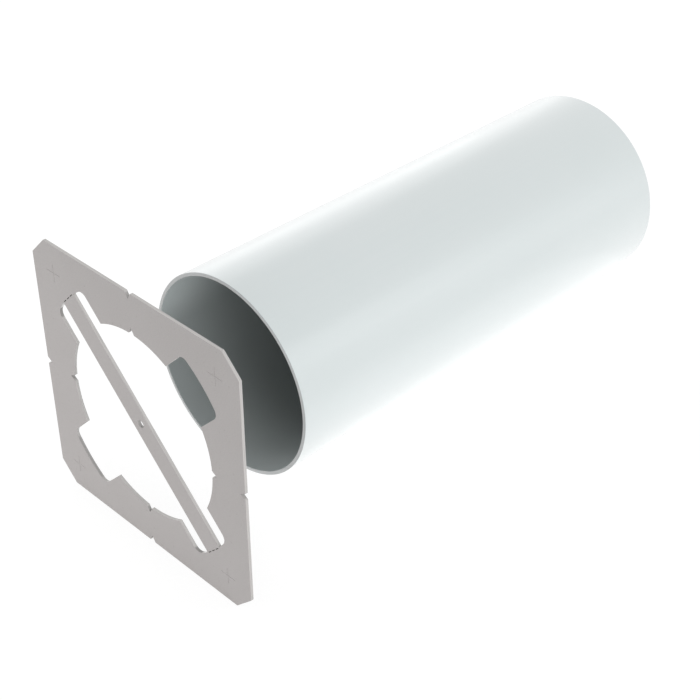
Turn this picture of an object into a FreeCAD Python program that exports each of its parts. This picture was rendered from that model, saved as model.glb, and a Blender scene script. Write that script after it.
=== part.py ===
"""Round wall sleeve of a room vent, with the die-cut board that marks out its hole.

All lengths are millimetres and +Z is up.  The origin is the centre of the sleeve's mouth
on the room side, and the sleeve runs from there along +Y through the wall.  The board
stands in front of the mouth, centred on the same axis and square to it.
"""

import FreeCAD, Part
import Sketcher
import math
import os
from FreeCAD import Placement, Rotation, Vector

# Driving sizes, kept in the document's spreadsheet
SIZES = {
    # Tube
    "sleeve_diameter": 200.0,
    "sleeve_wall": 3.5,
    "sleeve_length": 500.0,
    "sleeve_edge_break": 0.4,
    # Room left round the tube in the hole through the wall
    "hole_clearance": 25.0,
    # Board, whose back stands off the tube's mouth by the gap
    "board_gap": 97.0,
    "board_thickness": 3.0,
    "board_margin": 10.0,
    "corner_cut": 19.0,
    # Opening, a little smaller than the bore, and its diagonal arms
    "opening_inset": 2.5,
    "arm_width": 57.0,
    "arm_corner_radius": 8.0,
    # Tear-off bar, with its pilot hole and a row of slits across each end
    "bar_width": 23.0,
    "bar_root": 10.0,
    "pilot_hole_diameter": 7.5,
    "slit_count": 3,
    "slit_pitch": 7.1,
    "slit_length": 4.9,
    "slit_width": 0.8,
    # V notches on the centre lines
    "notch_depth": 6.0,
    "notch_width": 7.0,
    # Scored crosses outside the circle of the hole
    "mark_offset": 25.0,
    "mark_span": 18.0,
    "mark_width": 0.8,
    "mark_depth": 0.4,
}

# Sizes that follow from the driving ones
BORE = "(sizes.sleeve_diameter - 2 * sizes.sleeve_wall)"
HOLE_CIRCLE = "(sizes.sleeve_diameter + 2 * sizes.hole_clearance)"
BOARD_SIDE = f"({HOLE_CIRCLE} + 2 * sizes.board_margin)"
OPENING = f"({BORE} - 2 * sizes.opening_inset)"
MARK_PLACE = f"(({HOLE_CIRCLE} / 2 + sizes.mark_offset) / sqrt(2))"

# Directions on the board's face, in degrees from +X towards +Z
ARM_ANGLE = 45.0
BAR_ANGLE = 135.0

# Copies round the sleeve's axis
BOTH_ENDS = 2
ALL_SIDES = 4
FULL_TURN_ANGLE = 360.0

# How a sketch numbers the points of a line or an arc, its own origin and its x axis
START, END, CENTRE = range(1, 4)
ORIGIN = (-1, START)
X_AXIS = ORIGIN[0]

LEAST_CHANGE = 0.01
NEAR = 1e-4


def make_sheet(doc):
    """Spreadsheet with one named cell for each driving size."""
    sheet = doc.addObject("Spreadsheet::Sheet", "sizes")
    for row, (name, value) in enumerate(SIZES.items(), start=1):
        sheet.set(f"A{row}", name)
        sheet.set(f"B{row}", str(value))
        sheet.setAlias(f"B{row}", name)
    doc.recompute()


def make_body(doc, label):
    body = doc.addObject("PartDesign::Body", label)
    body.Label = label
    return body


def value_of(body, expression):
    """Present value of an expression on the sheet."""
    return float(body.evalExpression(expression))


def volume_of(body):
    return body.Shape.Volume if body.Tip else 0.0


def wall_plane(body):
    """The body's own plane that lies parallel to the wall: X across and Z up."""
    for feature in body.Origin.OriginFeatures:
        if feature.Role == "XZ_Plane":
            return feature
    raise RuntimeError(f"{body.Label} has no XZ plane")


def new_sketch(body, name, turned=0.0):
    """Sketch on the wall plane, seen from the room, with its x axis turned towards +Z."""
    sketch = body.newObject("Sketcher::SketchObject", name)
    sketch.AttachmentSupport = [(wall_plane(body), "")]
    sketch.MapMode = "FlatFace"
    sketch.AttachmentOffset = Placement(Vector(0, 0, 0), Rotation(Vector(0, 0, 1), turned))
    return sketch


def constrain(sketch, kind, *where):
    sketch.addConstraint(Sketcher.Constraint(kind, *where))


def bind(sketch, expression, kind, *where):
    """Add a dimension to the sketch and tie it to the sheet."""
    start_value = value_of(sketch, expression)
    index = sketch.addConstraint(Sketcher.Constraint(kind, *where, start_value))
    name = f"size_{index}"
    sketch.renameConstraint(index, name)
    sketch.setExpression(f"Constraints.{name}", expression)


def add_circle(sketch, diameter):
    """Circle centred on the sketch's origin."""
    radius = value_of(sketch, diameter) / 2
    circle = sketch.addGeometry(Part.Circle(Vector(0, 0, 0), Vector(0, 0, 1), radius))
    constrain(sketch, "Coincident", circle, CENTRE, *ORIGIN)
    bind(sketch, diameter, "Diameter", circle)


def add_polygon(sketch, points):
    """Closed chain of straight lines through the points; returns the lines."""
    lines = []
    for start, end in zip(points, points[1:] + points[:1]):
        segment = Part.LineSegment(Vector(*start, 0), Vector(*end, 0))
        lines.append(sketch.addGeometry(segment))
    for line, following in zip(lines, lines[1:] + lines[:1]):
        constrain(sketch, "Coincident", line, END, following, START)
    return lines


def add_rectangle(sketch, width, height, centre_x="0", centre_y="0"):
    """Rectangle along the sketch's axes."""
    left_at = f"{centre_x} - ({width}) / 2"
    bottom_at = f"{centre_y} - ({height}) / 2"
    x = value_of(sketch, left_at)
    y = value_of(sketch, bottom_at)
    wide = value_of(sketch, width)
    tall = value_of(sketch, height)
    corners = [(x, y), (x + wide, y), (x + wide, y + tall), (x, y + tall)]
    bottom, right, top, left = add_polygon(sketch, corners)
    for line in (bottom, top):
        constrain(sketch, "Horizontal", line)
    for line in (right, left):
        constrain(sketch, "Vertical", line)
    bind(sketch, width, "DistanceX", bottom, START, bottom, END)
    bind(sketch, height, "DistanceY", right, START, right, END)
    bind(sketch, left_at, "DistanceX", *ORIGIN, bottom, START)
    bind(sketch, bottom_at, "DistanceY", *ORIGIN, bottom, START)


def add_vee(sketch, apex, mouth):
    """V cutter with its apex on the x axis; its mouth lies two notch depths further."""
    mouth_width = "2 * sizes.notch_width"
    tip = (value_of(sketch, apex), 0.0)
    side = value_of(sketch, mouth)
    half = value_of(sketch, mouth_width) / 2
    lower, base, upper = add_polygon(sketch, [tip, (side, -half), (side, half)])
    constrain(sketch, "PointOnObject", lower, START, X_AXIS)
    constrain(sketch, "Symmetric", base, START, base, END, X_AXIS)
    bind(sketch, apex, "DistanceX", *ORIGIN, lower, START)
    bind(sketch, mouth, "DistanceX", *ORIGIN, base, START)
    bind(sketch, mouth_width, "DistanceY", base, START, base, END)


def add_arm(sketch):
    """Straight-sided arm along the x axis, ending on the circle of the hole in the wall."""
    base_x = value_of(sketch, f"{OPENING} / 4")
    half = value_of(sketch, "sizes.arm_width / 2")
    radius = value_of(sketch, f"{HOLE_CIRCLE} / 2")
    tip_x = math.sqrt(radius ** 2 - half ** 2)
    lean = math.asin(half / radius)
    base = sketch.addGeometry(Part.LineSegment(Vector(base_x, -half, 0), Vector(base_x, half, 0)))
    upper = sketch.addGeometry(Part.LineSegment(Vector(base_x, half, 0), Vector(tip_x, half, 0)))
    circle = Part.Circle(Vector(0, 0, 0), Vector(0, 0, 1), radius)
    tip = sketch.addGeometry(Part.ArcOfCircle(circle, -lean, lean))
    lower = sketch.addGeometry(Part.LineSegment(Vector(tip_x, -half, 0), Vector(base_x, -half, 0)))
    constrain(sketch, "Coincident", base, END, upper, START)
    constrain(sketch, "Coincident", upper, END, tip, END)
    constrain(sketch, "Coincident", tip, START, lower, START)
    constrain(sketch, "Coincident", lower, END, base, START)
    constrain(sketch, "Coincident", tip, CENTRE, *ORIGIN)
    constrain(sketch, "Horizontal", upper)
    constrain(sketch, "Horizontal", lower)
    constrain(sketch, "Symmetric", base, START, base, END, X_AXIS)
    bind(sketch, "sizes.arm_width", "DistanceY", base, START, base, END)
    bind(sketch, f"{OPENING} / 4", "DistanceX", *ORIGIN, base, START)
    bind(sketch, f"{HOLE_CIRCLE} / 2", "Radius", tip)


def finish_feature(body, feature, before, growing):
    """Recompute, and stop if the feature changed the body the wrong way or not at all."""
    body.Document.recompute()
    change = volume_of(body) - before
    if not growing:
        change = -change
    if change < LEAST_CHANGE:
        raise RuntimeError(f"{feature.Label} changed nothing on {body.Label}")
    return feature


def pad(body, name, sketch, length, into_wall=False):
    """Thicken a sketch towards the room, or into the wall."""
    before = volume_of(body)
    feature = body.newObject("PartDesign::Pad", name)
    feature.Profile = sketch
    feature.setExpression("Length", length)
    feature.Reversed = into_wall
    sketch.Visibility = False
    return finish_feature(body, feature, before, growing=True)


def pocket(body, name, sketch, depth=None):
    """Cut a sketch to a depth behind its plane, or right through the body."""
    before = volume_of(body)
    feature = body.newObject("PartDesign::Pocket", name)
    feature.Profile = sketch
    if depth:
        feature.setExpression("Length", depth)
    else:
        feature.Type = "ThroughAll"
        feature.SideType = "Symmetric"
    sketch.Visibility = False
    return finish_feature(body, feature, before, growing=False)


def repeat(body, name, cuts, sketch, count):
    """Copy cuts evenly round the sleeve's axis."""
    before = volume_of(body)
    pattern = body.newObject("PartDesign::PolarPattern", name)
    pattern.Originals = cuts
    pattern.Axis = (sketch, ["N_Axis"])
    pattern.Angle = FULL_TURN_ANGLE
    pattern.Occurrences = count
    body.Tip = pattern
    return finish_feature(body, pattern, before, growing=False)


def edge_names(feature, wanted):
    """Names of the edges of a feature that a test picks out."""
    names = []
    for number, edge in enumerate(feature.Shape.Edges, start=1):
        if wanted(edge):
            names.append(f"Edge{number}")
    return names


def is_round(edge):
    return isinstance(edge.Curve, Part.Circle)


def runs_through(edge):
    """True for a straight edge square to the wall, from face to face of the board."""
    if not isinstance(edge.Curve, Part.Line):
        return False
    tangent = edge.tangentAt(edge.FirstParameter)
    return math.hypot(tangent.x, tangent.z) < NEAR


def distance_from_axis(edge):
    middle = edge.CenterOfMass
    return math.hypot(middle.x, middle.z)


def chamfer(body, name, feature, edges, size):
    dressed = body.newObject("PartDesign::Chamfer", name)
    dressed.Base = (feature, edges)
    dressed.setExpression("Size", size)
    body.Document.recompute()


def fillet(body, name, feature, edges, radius):
    dressed = body.newObject("PartDesign::Fillet", name)
    dressed.Base = (feature, edges)
    dressed.setExpression("Radius", radius)
    body.Document.recompute()


def make_sleeve(doc):
    """Plain tube, cut square at both ends with its edges just broken."""
    body = make_body(doc, "wall_sleeve")
    section = new_sketch(body, "sleeve_section")
    add_circle(section, "sizes.sleeve_diameter")
    add_circle(section, BORE)
    tube = pad(body, "sleeve_tube", section, "sizes.sleeve_length", into_wall=True)
    chamfer(body, "sleeve_rims", tube, edge_names(tube, is_round), "sizes.sleeve_edge_break")
    return body


def add_board(body):
    """Square board with its four corners cut off."""
    outline = new_sketch(body, "board_outline")
    add_rectangle(outline, BOARD_SIDE, BOARD_SIDE)
    board = pad(body, "board", outline, "sizes.board_thickness")
    chamfer(body, "board_corners", board, edge_names(board, runs_through), "sizes.corner_cut")


def cut_opening(body):
    """Round opening with four diagonal arms that reach the circle of the hole."""
    circle = new_sketch(body, "opening_circle")
    add_circle(circle, OPENING)
    pocket(body, "opening", circle)

    outline = new_sketch(body, "arm_outline", ARM_ANGLE)
    add_arm(outline)
    arm = pocket(body, "arm", outline)
    arms = repeat(body, "arms", [arm], outline, ALL_SIDES)

    radius = value_of(body, f"{HOLE_CIRCLE} / 2")

    def at_arm_end(edge):
        return runs_through(edge) and abs(distance_from_axis(edge) - radius) < NEAR

    fillet(body, "arm_corners", arms, edge_names(arms, at_arm_end), "sizes.arm_corner_radius")


def add_bar(body):
    """Diagonal tear-off bar, rooted in the board at both ends, with the pilot hole."""
    strip = new_sketch(body, "bar_outline", BAR_ANGLE)
    add_rectangle(strip, f"{HOLE_CIRCLE} + 2 * sizes.bar_root", "sizes.bar_width")
    pad(body, "bar", strip, "sizes.board_thickness")

    circle = new_sketch(body, "pilot_circle")
    add_circle(circle, "sizes.pilot_hole_diameter")
    pocket(body, "pilot_hole", circle)


def perforate_bar(body):
    """Straight row of slits across each end of the bar, where it leaves the hole's circle."""
    row = new_sketch(body, "slit_outlines", BAR_ANGLE)
    along = f"({HOLE_CIRCLE} / 2)"
    for place in range(int(value_of(body, "sizes.slit_count"))):
        across = f"(sizes.slit_pitch * ({place} - (sizes.slit_count - 1) / 2))"
        add_rectangle(row, "sizes.slit_width", "sizes.slit_length", along, across)
    slits = pocket(body, "slits", row)
    repeat(body, "perforations", [slits], row, BOTH_ENDS)


def cut_notches(body):
    """V notches on both centre lines, at the board's edges and at the opening's."""
    vees = new_sketch(body, "notch_outlines")
    add_vee(
        vees,
        apex=f"{BOARD_SIDE} / 2 - sizes.notch_depth",
        mouth=f"{BOARD_SIDE} / 2 + sizes.notch_depth",
    )
    add_vee(
        vees,
        apex=f"{OPENING} / 2 + sizes.notch_depth",
        mouth=f"{OPENING} / 2 - sizes.notch_depth",
    )
    notch = pocket(body, "notch", vees)
    repeat(body, "notches", [notch], vees, ALL_SIDES)


def score_marks(body):
    """Shallow crosses in the room-side face, outside the circle of the hole."""
    strokes = {
        "level": ("sizes.mark_span", "sizes.mark_width"),
        "upright": ("sizes.mark_width", "sizes.mark_span"),
    }
    cuts = []
    for name, (width, height) in strokes.items():
        outline = new_sketch(body, f"{name}_outline")
        outline.setExpression("AttachmentOffset.Base.z", "sizes.board_thickness")
        add_rectangle(outline, width, height, MARK_PLACE, MARK_PLACE)
        cuts.append(pocket(body, f"{name}_stroke", outline, "sizes.mark_depth"))
    # Either outline gives the axis that the copies go round
    repeat(body, "marks", cuts, outline, ALL_SIDES)


def make_template(doc):
    """Die-cut board that is held to the wall to mark out the hole for the sleeve."""
    body = make_body(doc, "drilling_template")
    add_board(body)
    cut_opening(body)
    add_bar(body)
    perforate_bar(body)
    cut_notches(body)
    score_marks(body)
    body.setExpression("Placement.Base.y", "-sizes.board_gap")
    return body


def check_document(doc, bodies):
    """Stop on a failed object or an unsound solid."""
    for item in doc.Objects:
        if "Invalid" in item.State or "Error" in item.State:
            raise RuntimeError(f"{item.Label} failed: {item.State}")
    for body in bodies:
        shape = body.Shape
        if shape.isNull() or not shape.isValid() or len(shape.Solids) != 1:
            raise RuntimeError(f"{body.Label} is not one sound solid")


def main():
    doc = FreeCAD.newDocument("wall_vent_sleeve")
    make_sheet(doc)
    bodies = [make_sleeve(doc), make_template(doc)]
    doc.recompute()
    check_document(doc, bodies)
    os.makedirs("parts", exist_ok=True)
    for body in bodies:
        body.Shape.exportStep(f"parts/{body.Label}.step")
        box = body.Shape.BoundBox
        print(
            f"{body.Label}: volume {body.Shape.Volume / 1000:.2f} cm3, "
            f"x {box.XMin:.2f} to {box.XMax:.2f}, y {box.YMin:.2f} to {box.YMax:.2f}, "
            f"z {box.ZMin:.2f} to {box.ZMax:.2f}"
        )


main()
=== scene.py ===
"""Looks of a round wall sleeve and the die-cut board that marks out its hole.

All lengths are metres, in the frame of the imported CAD: the sleeve runs along +Y from the
origin, +Z is up, and the board stands in front of the mouth.
"""

import math

import bpy
import bmesh
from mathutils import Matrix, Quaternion, Vector
from mathutils.geometry import tessellate_polygon


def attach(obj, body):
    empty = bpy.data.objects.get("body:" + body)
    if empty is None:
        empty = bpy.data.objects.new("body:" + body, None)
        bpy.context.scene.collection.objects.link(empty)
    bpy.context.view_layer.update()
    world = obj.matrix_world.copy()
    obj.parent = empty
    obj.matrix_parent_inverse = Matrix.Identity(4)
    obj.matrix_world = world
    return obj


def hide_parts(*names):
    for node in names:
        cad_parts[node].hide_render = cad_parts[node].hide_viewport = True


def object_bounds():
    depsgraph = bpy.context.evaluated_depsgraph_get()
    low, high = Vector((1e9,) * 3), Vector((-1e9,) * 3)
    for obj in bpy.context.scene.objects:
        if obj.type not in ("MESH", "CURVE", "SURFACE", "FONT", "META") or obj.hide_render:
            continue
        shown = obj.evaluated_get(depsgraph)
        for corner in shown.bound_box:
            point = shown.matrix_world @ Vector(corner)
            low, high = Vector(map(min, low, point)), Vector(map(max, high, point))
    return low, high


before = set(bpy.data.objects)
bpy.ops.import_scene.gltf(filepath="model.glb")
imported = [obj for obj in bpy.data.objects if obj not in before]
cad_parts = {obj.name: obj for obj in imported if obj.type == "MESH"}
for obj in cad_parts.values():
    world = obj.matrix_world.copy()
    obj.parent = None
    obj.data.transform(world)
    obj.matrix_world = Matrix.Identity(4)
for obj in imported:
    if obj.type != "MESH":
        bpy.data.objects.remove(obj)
cad_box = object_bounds()

EIGHTH_TURN = math.pi / 4
QUARTER_TURN = math.pi / 2
HALF_TURN = math.pi
FULL_TURN = 2 * math.pi

# Sleeve
SLEEVE_RADIUS = 0.100
SLEEVE_WALL = 0.0035
SLEEVE_LENGTH = 0.500
SLEEVE_EDGE = 0.0004
BORE_RADIUS = SLEEVE_RADIUS - SLEEVE_WALL

# Circle of the hole through the wall, which leaves this much room round the sleeve
HOLE_CLEARANCE = 0.025
HOLE_RADIUS = SLEEVE_RADIUS + HOLE_CLEARANCE

# Board, whose back stands off the sleeve's mouth by the gap
BOARD_GAP = 0.097
BOARD_THICKNESS = 0.003
BOARD_BACK = -BOARD_GAP
BOARD_FRONT = BOARD_BACK - BOARD_THICKNESS
BOARD_MARGIN = 0.010
BOARD_HALF = HOLE_RADIUS + BOARD_MARGIN
BOARD_EDGE = 0.00018
CORNER_CUT = 0.019

# Opening, a little smaller than the bore, and its diagonal arms with their rounded corners
OPENING_INSET = 0.0025
OPENING_RADIUS = BORE_RADIUS - OPENING_INSET
ARM_ANGLE = EIGHTH_TURN
ARM_HALF = 0.0285
ARM_CORNER = 0.008
ARM_END_HALF = ARM_HALF - ARM_CORNER

# Tear-off bar in two of the arms, with a pilot hole and a row of slits across each end
BAR_ANGLE = 3 * EIGHTH_TURN
BAR_HALF = 0.0115
PILOT_RADIUS = 0.00375
SLIT_COUNT = 3
SLIT_PITCH = 0.0071
SLIT_LENGTH = 0.0049
SLIT_WIDTH = 0.0008

# V notches on the centre lines
NOTCH_DEPTH = 0.006
NOTCH_WIDTH = 0.007
NOTCH_HALF = NOTCH_WIDTH / 2

# Scored crosses outside the circle of the hole
MARK_OFFSET = 0.025
MARK_PLACE = (HOLE_RADIUS + MARK_OFFSET) / math.sqrt(2)
MARK_SPAN = 0.018
MARK_WIDTH = 0.0008
MARK_TIP_WIDTH = 0.0007
MARK_DEPTH = 0.00025
MARK_TURN = math.radians(0.1)

# Fineness of the meshes, and a length too small to count
SLEEVE_SIDES = 256
SLEEVE_BANDS = 20
EDGE_STEPS = 3
EDGE_SETBACK = 3 * SLEEVE_EDGE
ARC_STEP = math.radians(1.5)
TINY = 1e-6

# Places of the sleeve's two materials in its list
OUTSIDE, INSIDE = range(2)

# Tones are red, green, blue and alpha. A pair of them is for the two ends of a pattern.
WHITE = (1.0, 1.0, 1.0, 1.0)
BLACK = (0.0, 0.0, 0.0, 1.0)

# Range in which most of a noise pattern lies, and depth of the relief
NOISE_RANGE = (0.3, 0.7)
BUMP_DEPTH = 0.0003

# Outside of the sleeve
OUTSIDE_TONES = ((0.615, 0.675, 0.675, 1.0), (0.655, 0.705, 0.71, 1.0))
DRAW_LINE_TONE = (0.62, 0.68, 0.685, 1.0)
# Painted shade on the tube's end faces
END_FACE_SHADE_TONE = (0.335, 0.355, 0.355, 1.0)

# Bore, with painted shade: grey near its ends and darker further in, each with painted light, a
# paler tone, on its upper left side
END_REACH = 0.105
END_SHADE_TONES = ((0.37, 0.405, 0.405, 1.0), (0.42, 0.455, 0.455, 1.0))
END_PAINTED_LIGHT_TONE = (0.63, 0.685, 0.685, 1.0)
DEEP_SHADE_TONES = ((0.205, 0.228, 0.228, 1.0), (0.235, 0.255, 0.255, 1.0))
DEEP_PAINTED_LIGHT_TONE = (0.27, 0.295, 0.295, 1.0)
# Slopes in x and z of a scale for the painted light, from -1 along its lower right to 1 along its
# upper left
BORE_LIGHT_SLOPES = (-7.9, 6.6)

# Faces of the board, with the slopes in x and z of the painted shade that darkens its upper right
# corner
FACE_TONES = ((0.45, 0.426, 0.42, 1.0), (0.495, 0.473, 0.467, 1.0))
FACE_SHADE_SLOPES = (1.0, 1.4)
FACE_SHADE_SLOPE_END = 0.33
FIBRE_TONE = (0.555, 0.532, 0.517, 1.0)
FLECK_TONE = (0.27, 0.247, 0.232, 1.0)
SCORED_TONE = (0.225, 0.214, 0.21, 1.0)
SCORED_SHARE = 0.07

# Cut edges of the board: the core, painted shade for its tight places and its darkest ones, and a
# painted highlight
CORE_TONES = ((0.49, 0.477, 0.465, 1.0), (0.585, 0.57, 0.558, 1.0))
# Painted shade: lighter for the notches, the pilot hole and the arm ends, darkest for the slits
# and the slot corners
CUT_SHADE_TONES = ((0.36, 0.35, 0.342, 1.0), (0.43, 0.418, 0.41, 1.0))
SHADED_TONE = (0.25, 0.243, 0.236, 1.0)
# Painted highlight on the ends of the slots beside the bar
SLOT_END_HIGHLIGHT_TONE = (0.8, 0.79, 0.78, 1.0)

# Zones of the cut edges that carry painted shade or a painted highlight instead of plain core.
# A zone is a set of limits. Each limit names the line that a distance is taken from, and the
# distances where it starts and where it is full.
HOLE_CIRCLE_ZONE = (
    ("axis", HOLE_RADIUS - 0.0085, HOLE_RADIUS - 0.0045),
    ("axis", HOLE_RADIUS + 0.0025, HOLE_RADIUS + 0.0015),
)
NOTCH_ZONE = (
    ("axis", OPENING_RADIUS + 0.0002, OPENING_RADIUS + 0.0020),
    ("axis", BOARD_HALF - 0.0005, BOARD_HALF - 0.0020),
    ("notches", NOTCH_HALF + 0.0007, NOTCH_HALF - 0.0003),
)
PILOT_ZONE = (("axis", PILOT_RADIUS + 0.00225, PILOT_RADIUS + 0.00125),)
ARM_END_ZONE = (*HOLE_CIRCLE_ZONE, ("arms", ARM_END_HALF + 0.0035, ARM_END_HALF - 0.0015))
SLIT_ZONE = (*HOLE_CIRCLE_ZONE, ("bar", BAR_HALF - 0.0003, BAR_HALF - 0.0006))
# Where the highlight on the slot ends is painted
SLOT_END_HIGHLIGHT_ZONE = (
    *HOLE_CIRCLE_ZONE,
    ("bar", BAR_HALF + 0.0007, BAR_HALF + 0.0020),
    ("bar", ARM_END_HALF + 0.0005, ARM_END_HALF - 0.0015),
)
SLOT_CORNER_ZONE = (
    *HOLE_CIRCLE_ZONE,
    ("axis", HOLE_RADIUS - 0.0065, HOLE_RADIUS - 0.0040),
    ("bar", ARM_END_HALF + 0.0005, ARM_END_HALF + 0.0030),
    ("bar", ARM_HALF + 0.0215, ARM_HALF + 0.0015),
)

# Surroundings, with the floor at the object's lowest point
WORLD_LIGHT = 0.84
FLOOR_Z = cad_box[0][2]
FLOOR_HALF = 40.0
FLOOR_TONE = (0.92, 0.92, 0.92, 1.0)
FLOOR_GLOW = 0.86
FLOOR_SHADOW_TONE = (0.18, 0.18, 0.18, 1.0)
JUST_OVER_FLOOR = FLOOR_Z + 0.004

# Soft lamps: name, place, the point that each faces, width and height, and power in watts
LAMPS = (
    ("right_panel", (1.6, 1.25, 0.68), (0.0, 1.25, 0.68), (2.1, 1.4), 3.5),
    ("right_streak_panel", (1.59, 1.3, 0.75), (0.0, 1.3, 0.75), (0.85, 0.85), 1.5),
    ("right_front_panel", (1.7, -1.05, 0.25), (0.0, 0.0, 0.0), (1.4, 0.7), 5.8),
    ("left_panel", (-1.6, 1.15, 0.78), (0.0, 1.15, 0.78), (2.1, 1.5), 4.5),
    ("left_near_panel", (-2.0, -0.4, 0.2), (0.0, 0.1, 0.0), (1.6, 0.66), 11.6),
    ("left_far_panel", (-2.0, 1.2, 0.2), (0.0, 0.4, 0.0), (1.6, 0.66), 1.7),
    ("table_panel", (0.0, 0.26, JUST_OVER_FLOOR), (0.0, 0.26, 0.0), (0.7, 0.6), 0.43),
)

# Camera, as solved from the photograph
CAMERA_PLACE = (0.83322, -0.67611, 0.78376)
CAMERA_AZIMUTH = math.radians(45.116)
CAMERA_ELEVATION = math.radians(35.301)
CAMERA_ROLL = math.radians(-0.0756)
CAMERA_SENSOR = 36.0
CAMERA_LENS = 75.84
CAMERA_RANGE = (0.05, 200.0)


def make_object(name, bm, materials):
    """Turn a bmesh into an object of the scene."""
    mesh = bpy.data.meshes.new(name)
    bm.to_mesh(mesh)
    bm.free()
    for material in materials:
        mesh.materials.append(material)
    thing = bpy.data.objects.new(name, mesh)
    bpy.context.scene.collection.objects.link(thing)
    return thing


def arc(radius, start, end, centre=(0.0, 0.0), steps=None):
    """Points of an arc from one angle to another, both ends included."""
    steps = steps or math.ceil(abs(end - start) / ARC_STEP)
    points = []
    for step in range(steps + 1):
        angle = start + (end - start) * step / steps
        points.append((centre[0] + radius * math.cos(angle), centre[1] + radius * math.sin(angle)))
    return points


def turned(points, angle):
    """Points turned about the origin."""
    cos, sin = math.cos(angle), math.sin(angle)
    return [(x * cos - y * sin, x * sin + y * cos) for x, y in points]


def mirrored(points):
    """Points mirrored across the x axis, in the reverse order."""
    return [(x, -y) for x, y in reversed(points)]


def edge_round(centre, start):
    """Quarter round at an end of the tube's wall, from this angle on."""
    return arc(SLEEVE_EDGE, start, start + QUARTER_TURN, centre, EDGE_STEPS)


def sleeve_profile():
    """Closed section of the tube's wall, as pairs of distance from the axis and y."""
    inner, outer = BORE_RADIUS + SLEEVE_EDGE, SLEEVE_RADIUS - SLEEVE_EDGE
    near, far = SLEEVE_EDGE, SLEEVE_LENGTH - SLEEVE_EDGE
    # Rings beside the rounds keep the walls' shading level, and the rest keep faces short
    levels = [SLEEVE_LENGTH * band / SLEEVE_BANDS for band in range(1, SLEEVE_BANDS)]
    levels = [EDGE_SETBACK] + levels + [SLEEVE_LENGTH - EDGE_SETBACK]
    return (
        edge_round((inner, near), HALF_TURN)
        + edge_round((outer, near), -QUARTER_TURN)
        + [(SLEEVE_RADIUS, y) for y in levels]
        + edge_round((outer, far), 0.0)
        + edge_round((inner, far), QUARTER_TURN)
        + [(BORE_RADIUS, y) for y in reversed(levels)]
    )


def sleeve_mesh():
    """Tube turned from its section."""
    bm = bmesh.new()
    profile = sleeve_profile()
    rings = []
    for side in range(SLEEVE_SIDES):
        angle = FULL_TURN * side / SLEEVE_SIDES
        ring = [bm.verts.new((r * math.cos(angle), y, r * math.sin(angle))) for r, y in profile]
        rings.append(ring)
    for ring, following in zip(rings, rings[1:] + rings[:1]):
        for index, (radius, y) in enumerate(profile):
            after = (index + 1) % len(profile)
            next_radius, next_y = profile[after]
            face = bm.faces.new((ring[index], following[index], following[after], ring[after]))
            face.smooth = abs(next_y - y) > TINY
            in_bore = max(radius, next_radius) < BORE_RADIUS + TINY
            face.material_index = INSIDE if in_bore else OUTSIDE
    bmesh.ops.recalc_face_normals(bm, faces=bm.faces)
    return bm


def arm_side():
    """Upper side of an arm along +x, as an angle and points.

    The angle is where the arm's rounded corner leaves the circle of the hole, and the points
    go round that corner and back to the rim of the opening.
    """
    corner_x = math.sqrt((HOLE_RADIUS - ARM_CORNER) ** 2 - ARM_END_HALF ** 2)
    lean = math.atan2(ARM_END_HALF, corner_x)
    corner = arc(ARM_CORNER, lean, QUARTER_TURN, (corner_x, ARM_END_HALF))
    foot = (math.sqrt(OPENING_RADIUS ** 2 - ARM_HALF ** 2), ARM_HALF)
    return lean, corner + [foot]


def rim_between_arms():
    """Rim of the opening from one arm to the next, with its notch, about the +x direction."""
    foot = ARM_ANGLE - math.asin(ARM_HALF / OPENING_RADIUS)
    slope = NOTCH_HALF / NOTCH_DEPTH
    apex = OPENING_RADIUS + NOTCH_DEPTH
    # The notch's side, y = slope * (apex - x), meets the rim where a x^2 - 2 b x + c = 0
    a = 1 + slope ** 2
    b = apex * slope ** 2
    c = apex ** 2 * slope ** 2 - OPENING_RADIUS ** 2
    x = (b + math.sqrt(b ** 2 - a * c)) / a
    mouth = math.atan2(slope * (apex - x), x)
    below = arc(OPENING_RADIUS, -foot, -mouth)[1:]
    above = arc(OPENING_RADIUS, mouth, foot)[:-1]
    return below + [(apex, 0.0)] + above


def half_opening():
    """Outline of the opening above the bar, which runs from upper left to lower right."""
    lean, side = arm_side()
    bar_end = math.asin(BAR_HALF / HOLE_RADIUS)
    slot = arc(HOLE_RADIUS, bar_end, lean)[:-1] + side
    arm = mirrored(side) + arc(HOLE_RADIUS, -lean, lean)[1:-1] + side
    rim = rim_between_arms()
    return (
        turned(slot, BAR_ANGLE - HALF_TURN)
        + rim
        + turned(arm, ARM_ANGLE)
        + turned(rim, QUARTER_TURN)
        + turned(mirrored(slot), BAR_ANGLE)
    )


def board_outline():
    """Square with its corners cut off and a notch in the middle of each side."""
    side = [
        (BOARD_HALF, -BOARD_HALF + CORNER_CUT),
        (BOARD_HALF, -NOTCH_HALF),
        (BOARD_HALF - NOTCH_DEPTH, 0.0),
        (BOARD_HALF, NOTCH_HALF),
        (BOARD_HALF, BOARD_HALF - CORNER_CUT),
    ]
    return [point for turn in range(4) for point in turned(side, turn * QUARTER_TURN)]


def slit_outlines():
    """Perforations in a straight row across both ends of the bar."""
    inner, outer = HOLE_RADIUS - SLIT_WIDTH / 2, HOLE_RADIUS + SLIT_WIDTH / 2
    outlines = []
    for place in range(SLIT_COUNT):
        middle = SLIT_PITCH * (place - (SLIT_COUNT - 1) / 2)
        low, high = middle - SLIT_LENGTH / 2, middle + SLIT_LENGTH / 2
        slit = [(inner, low), (outer, low), (outer, high), (inner, high)]
        outlines += [turned(slit, BAR_ANGLE), turned(slit, BAR_ANGLE + HALF_TURN)]
    return outlines


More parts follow.
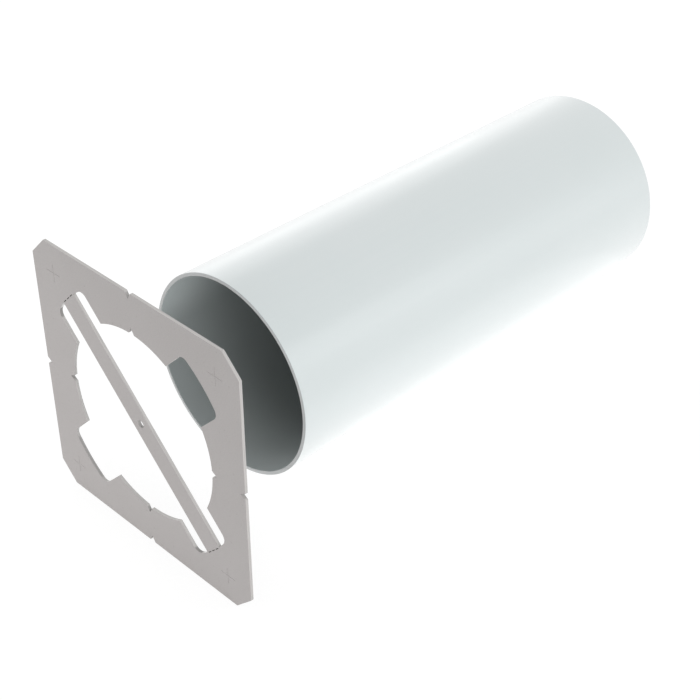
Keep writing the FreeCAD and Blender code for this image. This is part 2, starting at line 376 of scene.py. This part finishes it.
def mark_outlines():
    """Scored crosses outside the circle of the hole, each a trace out of square.

    That, and strokes that narrow to their ends, keep corners out of line with each other,
    so that filling the face leaves no triangle without area.
    """
    far, near, tip = MARK_SPAN / 2, MARK_WIDTH / 2, MARK_TIP_WIDTH / 2
    stroke = [(far, -tip), (far, tip), (near, near)]
    plus = [point for turn in range(4) for point in turned(stroke, turn * QUARTER_TURN)]
    places = [(x, z) for x in (-MARK_PLACE, MARK_PLACE) for z in (-MARK_PLACE, MARK_PLACE)]
    outlines = []
    for number, (x, z) in enumerate(places, start=1):
        cross = turned(plus, MARK_TURN * number)
        outlines.append([(x + across, z + up) for across, up in cross])
    return outlines


def moved_in(points, distance):
    """Outline moved sideways into the board, which lies on the left of its direction."""
    moved = []
    for before, here, after in zip(points[-1:] + points[:-1], points, points[1:] + points[:1]):
        along = (Vector(here) - Vector(before)).normalized()
        onward = (Vector(after) - Vector(here)).normalized()
        left = Vector((-along.y, along.x))
        left_on = Vector((-onward.y, onward.x))
        mitre = (left + left_on) / (1 + left.dot(left_on))
        moved.append(tuple(Vector(here) + mitre * distance))
    return moved


def ring_of(bm, points, y):
    """Vertices of an outline that lies at this depth."""
    return [bm.verts.new((x, y, z)) for x, z in points]


def bridge(bm, ring, following):
    """Flat faces between two rings of the same outline."""
    for index in range(len(ring)):
        after = (index + 1) % len(ring)
        face = bm.faces.new((ring[index], ring[after], following[after], following[index]))
        face.smooth = False


def cap(bm, rings):
    """Fill the flat region inside the first ring and outside the others."""
    verts = [vert for ring in rings for vert in ring]
    loops = [[(vert.co.x, vert.co.z, 0.0) for vert in ring] for ring in rings]
    for corners in tessellate_polygon(loops):
        bm.faces.new([verts[index] for index in corners])


def board_mesh():
    """Die-cut board with slightly rounded cut edges, sharp slits and scored crosses."""
    bm = bmesh.new()
    front, back = BOARD_FRONT, BOARD_BACK
    opening = half_opening()
    holes = [opening, turned(opening, HALF_TURN), arc(PILOT_RADIUS, 0.0, FULL_TURN)[:-1]]
    softened = [board_outline()] + [outline[::-1] for outline in holes]
    sharp = [outline[::-1] for outline in slit_outlines()]

    # Sections of a cut edge from front to back: distance into the board, and depth
    edge = BOARD_EDGE
    halfway = edge * (1 - math.sqrt(0.5))
    front_round = [(edge, front), (halfway, front + halfway), (0.0, front + edge)]
    back_round = [(0.0, back - edge), (halfway, back - halfway), (edge, back)]
    straight_cut = [(0.0, front), (0.0, back)]

    front_rings, back_rings = [], []
    for outlines, section in ((softened, front_round + back_round), (sharp, straight_cut)):
        for outline in outlines:
            rings = [ring_of(bm, moved_in(outline, inset), y) for inset, y in section]
            for ring, following in zip(rings, rings[1:]):
                bridge(bm, ring, following)
            front_rings.append(rings[0])
            back_rings.append(rings[-1])

    for outline in mark_outlines():
        top = ring_of(bm, outline, front)
        bottom = ring_of(bm, outline, front + MARK_DEPTH)
        bridge(bm, top, bottom)
        cap(bm, [bottom])
        front_rings.append(top)

    cap(bm, front_rings)
    cap(bm, back_rings)
    bmesh.ops.recalc_face_normals(bm, faces=bm.faces)
    return bm


class Nodes:
    """Small helper that adds and links the nodes of one tree."""

    def __init__(self, tree):
        self.tree = tree
        tree.nodes.clear()

    def add(self, kind, inputs=None, **settings):
        """New node with these settings, and a value or a link at each input named or numbered."""
        node = self.tree.nodes.new(kind)
        for name, value in settings.items():
            setattr(node, name, value)
        for name, value in (inputs or {}).items():
            if isinstance(value, bpy.types.NodeSocket):
                self.tree.links.new(value, node.inputs[name])
            else:
                node.inputs[name].default_value = value
        return node

    def place(self):
        """Place on the object, in metres."""
        return self.add("ShaderNodeTexCoord").outputs["Object"]

    def split(self, vector):
        """The x, y and z of a vector."""
        return self.add("ShaderNodeSeparateXYZ", {"Vector": vector}).outputs

    def facing(self):
        """How far a face looks along the sleeve: -1 to the room, 0 sideways and 1 away."""
        normal = self.add("ShaderNodeNewGeometry").outputs["True Normal"]
        return self.split(normal)["Y"]

    def math(self, operation, first, *others):
        """Result of an operation on one value, or on several taken one after another."""
        for second in others or (0.0,):
            node = self.add("ShaderNodeMath", {0: first, 1: second}, operation=operation)
            first = node.outputs[0]
        return first

    def weighted(self, first, first_weight, second, second_weight):
        """Sum of two values, each times its weight."""
        first_part = self.math("MULTIPLY", first, first_weight)
        second_part = self.math("MULTIPLY", second, second_weight)
        return self.math("ADD", first_part, second_part)

    def step(self, value, start, end, gives=(0.0, 1.0)):
        """Smooth change from the first output to the second as a value goes from start to end."""
        inputs = {
            "Value": value,
            "From Min": start,
            "From Max": end,
            "To Min": gives[0],
            "To Max": gives[1],
        }
        node = self.add("ShaderNodeMapRange", inputs, interpolation_type="SMOOTHSTEP")
        return node.outputs["Result"]

    def mix(self, share, first, second):
        """First colour, with this share of the second."""
        inputs = {"Factor": share, "A": first, "B": second}
        return self.add("ShaderNodeMix", inputs, data_type="RGBA").outputs["Result"]

    def noise(self, place, scale, detail, roughness=0.5, stretch=(1.0, 1.0, 1.0)):
        """Noise pattern over a place that is first stretched along its axes."""
        moved = self.add("ShaderNodeMapping", {"Vector": place, "Scale": stretch})
        inputs = {
            "Vector": moved.outputs["Vector"],
            "Scale": scale,
            "Detail": detail,
            "Roughness": roughness,
        }
        return self.add("ShaderNodeTexNoise", inputs).outputs["Fac"]

    def bump(self, height, strength):
        """Normal of a surface with this relief."""
        inputs = {"Strength": strength, "Distance": BUMP_DEPTH, "Height": height}
        return self.add("ShaderNodeBump", inputs).outputs["Normal"]


def new_material(name):
    """Material, and the helper for its nodes."""
    material = bpy.data.materials.new(name)
    material.use_nodes = True
    return material, Nodes(material.node_tree)


def finish_material(nodes, inputs):
    """Give the material a Principled shader with these inputs."""
    shader = nodes.add("ShaderNodeBsdfPrincipled", inputs)
    nodes.add("ShaderNodeOutputMaterial", {"Surface": shader.outputs["BSDF"]})


def plastic_patterns(nodes, place):
    """What shows on extruded plastic: soft clouds, draw lines along it, and its bump."""
    cloud = nodes.noise(place, scale=9.0, detail=3.0)
    draw_lines = nodes.noise(place, scale=260.0, detail=3.0, stretch=(1.0, 0.006, 1.0))
    grain = nodes.noise(place, scale=900.0, detail=2.0)
    height = nodes.weighted(draw_lines, 0.12, grain, 0.3)
    return cloud, draw_lines, nodes.bump(height, strength=0.05)


def outside_material():
    """Outside of the sleeve: glossy white plastic with a cool tint, and painted shade on its end
    faces.
    """
    material, nodes = new_material("sleeve_outside_look")
    cloud, draw_lines, normal = plastic_patterns(nodes, nodes.place())
    colour = nodes.mix(cloud, *OUTSIDE_TONES)
    line_share = nodes.step(draw_lines, 0.35, 0.7, gives=(0.0, 0.35))
    colour = nodes.mix(line_share, colour, DRAW_LINE_TONE)
    # Painted shade on the end faces, which look along the tube
    end_face_shade = nodes.step(nodes.math("ABSOLUTE", nodes.facing()), 0.2, 0.5)
    colour = nodes.mix(end_face_shade, colour, END_FACE_SHADE_TONE)
    inputs = {
        "Base Color": colour,
        "Roughness": nodes.step(cloud, *NOISE_RANGE, gives=(0.20, 0.27)),
        "IOR": 1.6,
        "Sheen Weight": 1.0,
        "Sheen Roughness": 0.55,
        "Normal": normal,
    }
    finish_material(nodes, inputs)
    return material


def inside_material():
    """Bore of the sleeve: duller, with grey painted shade that darkens away from its ends, and
    painted light on its upper left side.
    """
    material, nodes = new_material("sleeve_inside_look")
    place = nodes.place()
    x, y, z = nodes.split(place)
    depth = nodes.math("MINIMUM", y, nodes.math("SUBTRACT", SLEEVE_LENGTH, y))
    side = nodes.weighted(x, BORE_LIGHT_SLOPES[0], z, BORE_LIGHT_SLOPES[1])
    cloud, _, normal = plastic_patterns(nodes, place)
    # The bore's grey is painted shade, darker away from its ends, with painted light towards its
    # upper left side
    shade_at_end = nodes.mix(cloud, *END_SHADE_TONES)
    shade_at_end = nodes.mix(nodes.step(side, 0.75, 1.0), shade_at_end, END_PAINTED_LIGHT_TONE)
    deep_shade = nodes.mix(cloud, *DEEP_SHADE_TONES)
    deep_shade = nodes.mix(nodes.step(side, -0.2, 1.0), deep_shade, DEEP_PAINTED_LIGHT_TONE)
    inputs = {
        "Base Color": nodes.mix(nodes.step(depth, 0.0, END_REACH), shade_at_end, deep_shade),
        "Roughness": nodes.step(cloud, *NOISE_RANGE, gives=(0.33, 0.38)),
        "IOR": 1.5,
        "Normal": normal,
    }
    finish_material(nodes, inputs)
    return material


def board_face(nodes, place, fibre):
    """Colour of the board's faces: soft clouds, pale fibres, dark flecks and painted shade towards
    the upper right corner.
    """
    x, _, z = nodes.split(place)
    cloud = nodes.noise(place, scale=14.0, detail=4.0)
    fleck = nodes.noise(place, scale=340.0, detail=2.0, roughness=0.4)
    colour = nodes.mix(cloud, *FACE_TONES)
    # Painted shade that darkens the face towards its upper right corner
    across = nodes.weighted(x, FACE_SHADE_SLOPES[0], z, FACE_SHADE_SLOPES[1])
    painted_shade_share = nodes.step(across, -FACE_SHADE_SLOPE_END, FACE_SHADE_SLOPE_END, gives=(0.0, 0.185))
    colour = nodes.mix(painted_shade_share, colour, BLACK)
    fibre_share = nodes.step(fibre, 0.3, 0.72, gives=(0.0, 0.3))
    colour = nodes.mix(fibre_share, colour, FIBRE_TONE)
    fleck_share = nodes.step(fleck, 0.66, 0.74, gives=(0.0, 0.28))
    return nodes.mix(fleck_share, colour, FLECK_TONE)


def off_line(nodes, x, z, angle):
    """Distance from the line through the sleeve's axis at this angle from +X towards +Z."""
    across = nodes.weighted(x, -math.sin(angle), z, math.cos(angle))
    return nodes.math("ABSOLUTE", across)


def board_distances(nodes, place):
    """Distances across the board from the lines that a zone's limits name.

    They are the sleeve's axis, the middle lines of the bar and of the other two arms, and the
    nearer of the two lines that run through the notches.
    """
    x, _, z = nodes.split(place)
    level, upright = off_line(nodes, x, z, 0.0), off_line(nodes, x, z, QUARTER_TURN)
    return {
        "axis": nodes.math("SQRT", nodes.weighted(x, x, z, z)),
        "bar": off_line(nodes, x, z, BAR_ANGLE),
        "arms": off_line(nodes, x, z, ARM_ANGLE),
        "notches": nodes.math("MINIMUM", level, upright),
    }


def zone_mask(nodes, distances, zone, share=1.0):
    """The share where all limits of a zone are full, and 0 where one hasn't started."""
    steps = [nodes.step(distances[line], start, full) for line, start, full in zone]
    return nodes.math("MULTIPLY", *steps, share)


def board_cut(nodes, place, ply):
    """Colour of the board's cut edges.

    Its pale core shows plies. Shade is painted on it in the notches, the pilot hole and the arm
    ends, and the darkest painted shade is in the slits and in the corners of the slots beside the
    bar. A highlight is painted on the ends of those slots.
    """
    distances = board_distances(nodes, place)
    # Masks of the painted shade, and of the painted highlight on the slot ends
    notches = zone_mask(nodes, distances, NOTCH_ZONE)
    arm_ends = zone_mask(nodes, distances, ARM_END_ZONE)
    pilot = zone_mask(nodes, distances, PILOT_ZONE, share=0.9)
    slits = zone_mask(nodes, distances, SLIT_ZONE)
    slot_corners = zone_mask(nodes, distances, SLOT_CORNER_ZONE, share=0.75)
    slot_end_highlights = zone_mask(nodes, distances, SLOT_END_HIGHLIGHT_ZONE)

    layers = nodes.step(ply, 0.35, 0.65)
    core = nodes.mix(layers, *CORE_TONES)
    # Painted shade for the tight places, then the darkest painted shade and the painted highlight
    shaded_cut = nodes.mix(layers, *CUT_SHADE_TONES)
    colour = nodes.mix(nodes.math("MAXIMUM", notches, arm_ends, pilot), core, shaded_cut)
    colour = nodes.mix(nodes.math("MAXIMUM", slits, slot_corners), colour, SHADED_TONE)
    return nodes.mix(slot_end_highlights, colour, SLOT_END_HIGHLIGHT_TONE)


def board_material():
    """Uncoated grey board: fibres, flecks and painted shade on the faces, and plies, painted shade
    and painted highlights on the cut edges.
    """
    material, nodes = new_material("template_board_look")
    place = nodes.place()
    facing = nodes.facing()
    on_edge = nodes.step(nodes.math("ABSOLUTE", facing), 0.85, 0.55)
    fibre = nodes.noise(place, scale=620.0, detail=5.0, roughness=0.65, stretch=(1.0, 1.0, 2.2))
    ply = nodes.noise(place, scale=1500.0, detail=2.0, stretch=(0.02, 1.0, 0.02))
    colour = nodes.mix(on_edge, board_face(nodes, place, fibre), board_cut(nodes, place, ply))

    # The scored crosses are a trace darker on their bottoms, which look to the room
    y = nodes.split(place)["Y"]
    below_face = nodes.step(y, BOARD_FRONT + 0.5 * MARK_DEPTH, BOARD_FRONT + 0.8 * MARK_DEPTH)
    to_room = nodes.step(facing, -0.5, -0.8)
    scored = nodes.math("MULTIPLY", below_face, to_room, SCORED_SHARE)
    colour = nodes.mix(scored, colour, SCORED_TONE)

    inputs = {
        "Base Color": colour,
        "Roughness": nodes.step(fibre, *NOISE_RANGE, gives=(0.78, 0.9)),
        "Specular IOR Level": 0.3,
        "Normal": nodes.bump(nodes.weighted(fibre, 0.8, ply, on_edge), strength=0.25),
    }
    finish_material(nodes, inputs)
    return material


def finish_backdrop(nodes, lit, seen, output):
    """Show one shader to the light's own rays, and another to the camera, gloss and glass."""
    path = nodes.add("ShaderNodeLightPath").outputs
    rays = [path[f"Is {kind} Ray"] for kind in ("Camera", "Glossy", "Transmission")]
    seen_directly = nodes.math("MAXIMUM", *rays)
    inputs = {0: seen_directly, 1: lit.outputs[0], 2: seen.outputs[0]}
    mixed = nodes.add("ShaderNodeMixShader", inputs)
    nodes.add(output, {"Surface": mixed.outputs[0]})


def make_world():
    """White surroundings that light the object evenly."""
    world = bpy.data.worlds.new("studio")
    bpy.context.scene.world = world
    world.use_nodes = True
    nodes = Nodes(world.node_tree)
    light = nodes.add("ShaderNodeBackground", {"Color": WHITE, "Strength": WORLD_LIGHT})
    white = nodes.add("ShaderNodeBackground", {"Color": WHITE, "Strength": 1.0})
    finish_backdrop(nodes, light, white, "ShaderNodeOutputWorld")


def make_floor():
    """Wide white floor that keeps a faint shadow."""
    material, nodes = new_material("floor_look")
    plain = nodes.add("ShaderNodeBsdfDiffuse", {"Color": FLOOR_TONE})
    glow = nodes.add("ShaderNodeEmission", {"Color": WHITE, "Strength": FLOOR_GLOW})
    faint = nodes.add("ShaderNodeBsdfDiffuse", {"Color": FLOOR_SHADOW_TONE})
    shown = nodes.add("ShaderNodeAddShader", {0: glow.outputs[0], 1: faint.outputs[0]})
    finish_backdrop(nodes, plain, shown, "ShaderNodeOutputMaterial")

    bm = bmesh.new()
    half = FLOOR_HALF
    corners = [(-half, -half), (half, -half), (half, half), (-half, half)]
    bm.faces.new([bm.verts.new((x, y, FLOOR_Z)) for x, y in corners])
    make_object("floor", bm, [material])


def make_lamp(name, place, aim, size, power):
    """Soft rectangular lamp that points at a place."""
    data = bpy.data.lights.new(name, "AREA")
    data.shape = "RECTANGLE"
    data.size, data.size_y = size
    data.energy = power
    lamp = bpy.data.objects.new(name, data)
    lamp.location = place
    back = Vector(place) - Vector(aim)
    lamp.rotation_mode = "QUATERNION"
    lamp.rotation_quaternion = back.to_track_quat("Z", "Y")
    lamp.visible_camera = False
    bpy.context.scene.collection.objects.link(lamp)


def make_camera():
    """Camera that sees the object as the photograph does."""
    data = bpy.data.cameras.new("camera")
    data.sensor_width = CAMERA_SENSOR
    data.lens = CAMERA_LENS
    data.clip_start, data.clip_end = CAMERA_RANGE
    camera = bpy.data.objects.new("camera", data)
    camera.location = CAMERA_PLACE
    level = math.cos(CAMERA_ELEVATION)
    back_x = math.sin(CAMERA_AZIMUTH) * level
    back_y = -math.cos(CAMERA_AZIMUTH) * level
    back = Vector((back_x, back_y, math.sin(CAMERA_ELEVATION)))
    roll = Quaternion((0, 0, 1), CAMERA_ROLL)
    camera.rotation_mode = "QUATERNION"
    camera.rotation_quaternion = back.to_track_quat("Z", "Y") @ roll
    bpy.context.scene.collection.objects.link(camera)
    bpy.context.scene.camera = camera


def set_piece(name, bm, materials, node):
    """Piece that stands for a node of the CAD."""
    piece = make_object(name, bm, materials)
    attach(piece, "root")
    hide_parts(node)


make_camera()
make_world()
make_floor()
for lamp in LAMPS:
    make_lamp(*lamp)

sleeve_looks = [outside_material(), inside_material()]
set_piece("sleeve_tube", sleeve_mesh(), sleeve_looks, "wall_sleeve")
set_piece("template_sheet", board_mesh(), [board_material()], "drilling_template")

bpy.context.scene.view_settings.view_transform = "Standard"
